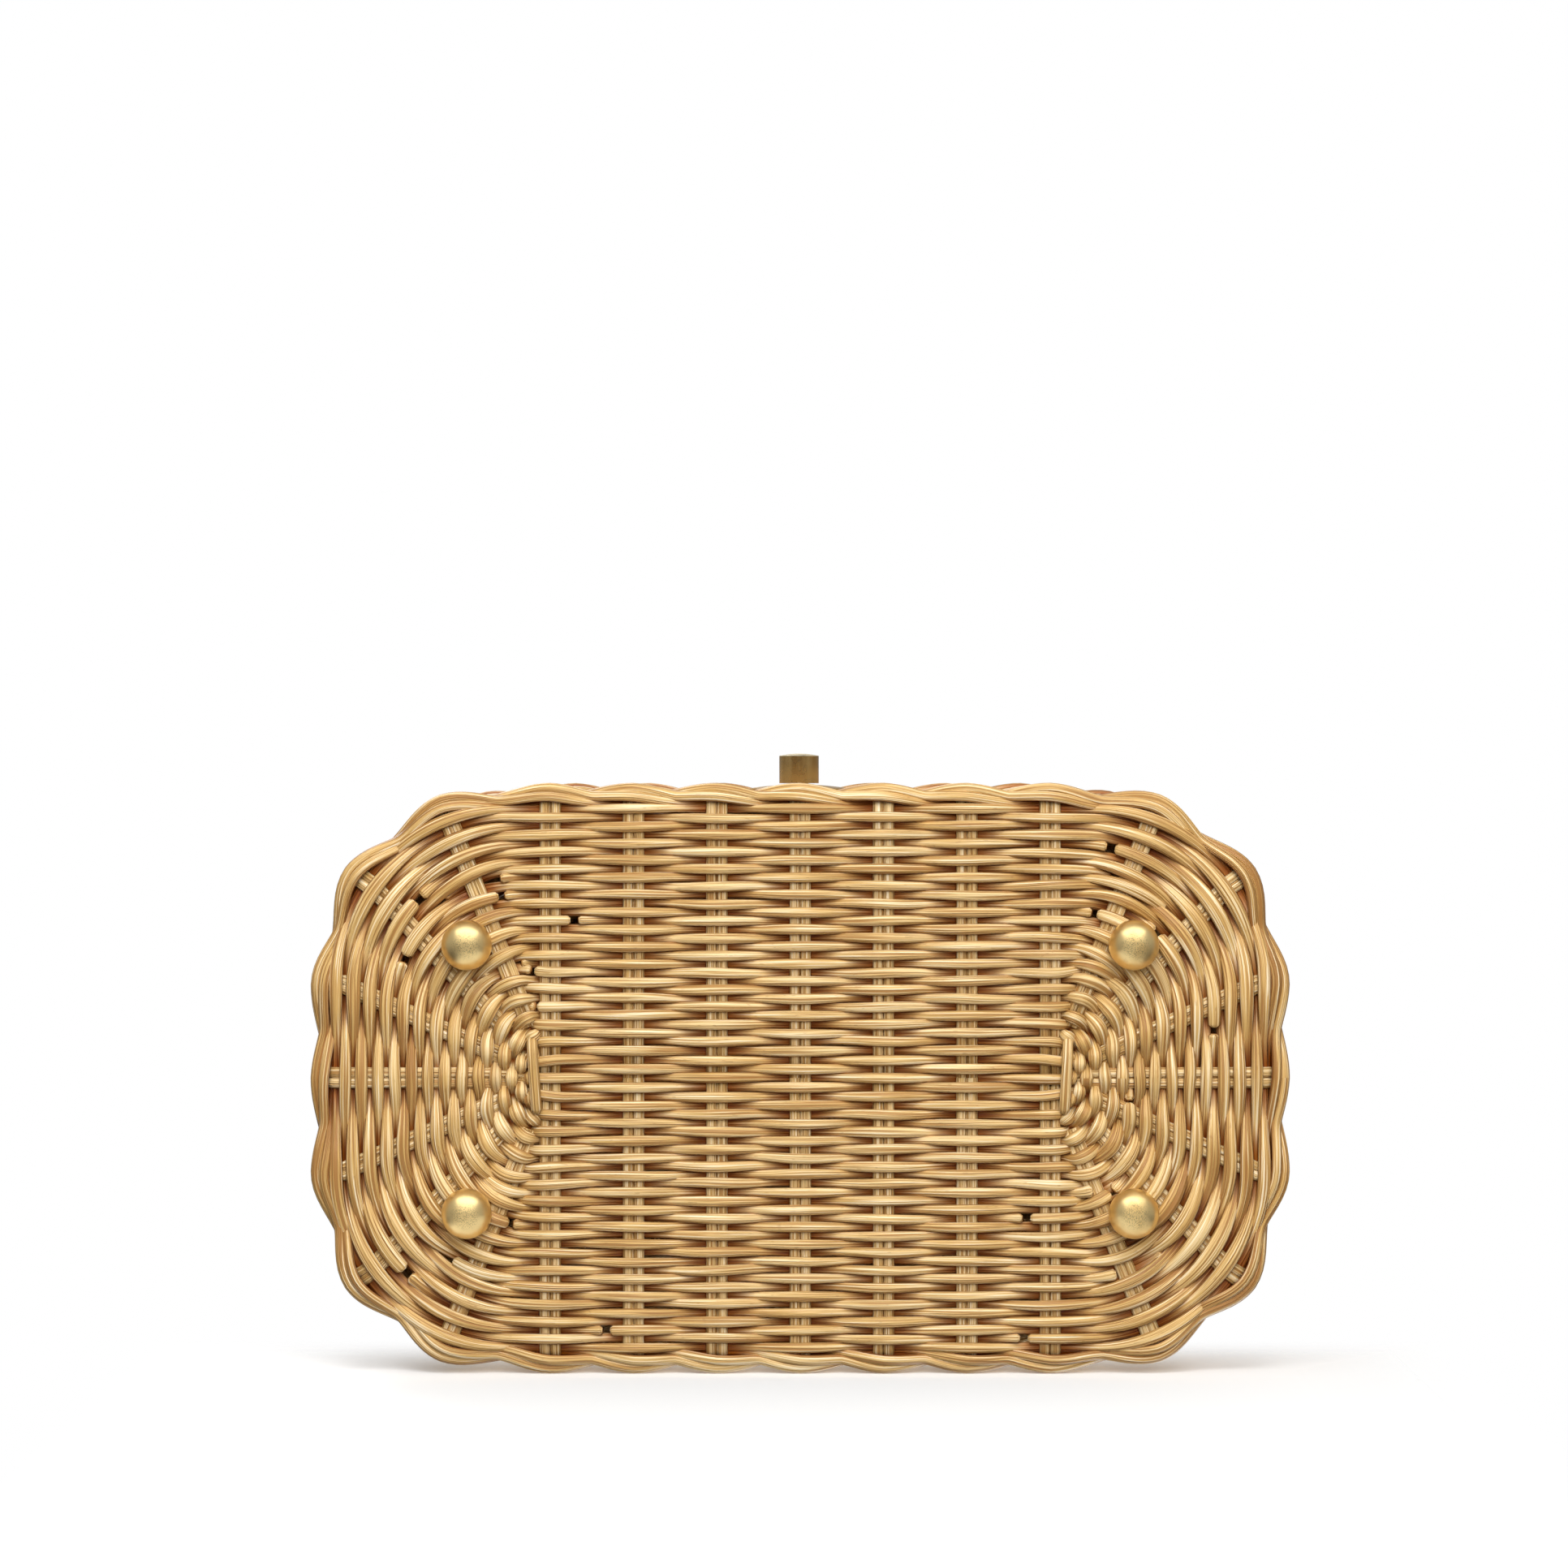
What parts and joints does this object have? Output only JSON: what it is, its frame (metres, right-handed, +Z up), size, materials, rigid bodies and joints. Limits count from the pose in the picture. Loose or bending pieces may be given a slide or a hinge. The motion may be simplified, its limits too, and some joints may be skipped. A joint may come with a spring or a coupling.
{
  "type": "vanity case",
  "caption": "Oblong rattan vanity case, woven over stakes, with a hinged lid, ball feet, a twist-knob lock and a bow handle.",
  "frame": {"origin": "on the floor, midway between the four feet", "axes": "+X to the right along the width, -Y to the front with the knob, +Z up"},
  "size_m": [0.241, 0.1567, 0.2115],
  "materials": {
    "rattan": "clear satin varnish on round rattan core",
    "cane": "clear satin varnish on bent cane",
    "brass": "satin, slightly aged"
  },
  "bodies": {
    "case": {"base_weave": "rattan", "base_core_rods": "cane", "base_wale": "rattan", "side_weave": "rattan", "body_border": "cane", "foot_front_left": "brass", "foot_front_right": "brass", "foot_rear_left": "brass", "foot_rear_right": "brass", "foot_washers": "brass", "foot_nuts": "brass", "hinge_left_lower_leaf": "brass", "hinge_right_lower_leaf": "brass", "hinge_left_pin": "brass", "hinge_right_pin": "brass", "hinge_rivets_body": "brass", "hinge_burrs_body": "brass", "lock_rosette": "brass", "lock_bush": "brass", "lock_washer": "brass"},
    "lid": {"hinge_left_upper_leaf": "brass", "hinge_right_upper_leaf": "brass", "hinge_rivets_lid": "brass", "hinge_burrs_lid": "brass", "strike_hook": "brass", "strike_rivets": "brass", "lid_border": "cane", "lid_side_weave": "rattan", "lid_top_weave": "rattan", "lid_core_rods": "cane", "lid_wale": "rattan", "handle_bow": "cane", "handle_ferrule_left": "brass", "handle_ferrule_right": "brass", "handle_screws": "brass", "handle_washers": "brass"},
    "knob": {"twist_knob": "brass", "cam_bar": "brass", "cam_nut": "brass"}
  },
  "joints": [
    {"name": "lid_hinge", "type": "hinge", "parent": "case", "child": "lid", "pos_m": [0, 0.07365, 0.12], "axis": [-1, 0, 0], "range_deg": [0, 105]},
    {"name": "knob_turn", "type": "hinge", "parent": "case", "child": "knob", "pos_m": [0, -0.071, 0.105], "axis": [0, -1, 0], "range_deg": [0, 90]}
  ]
}
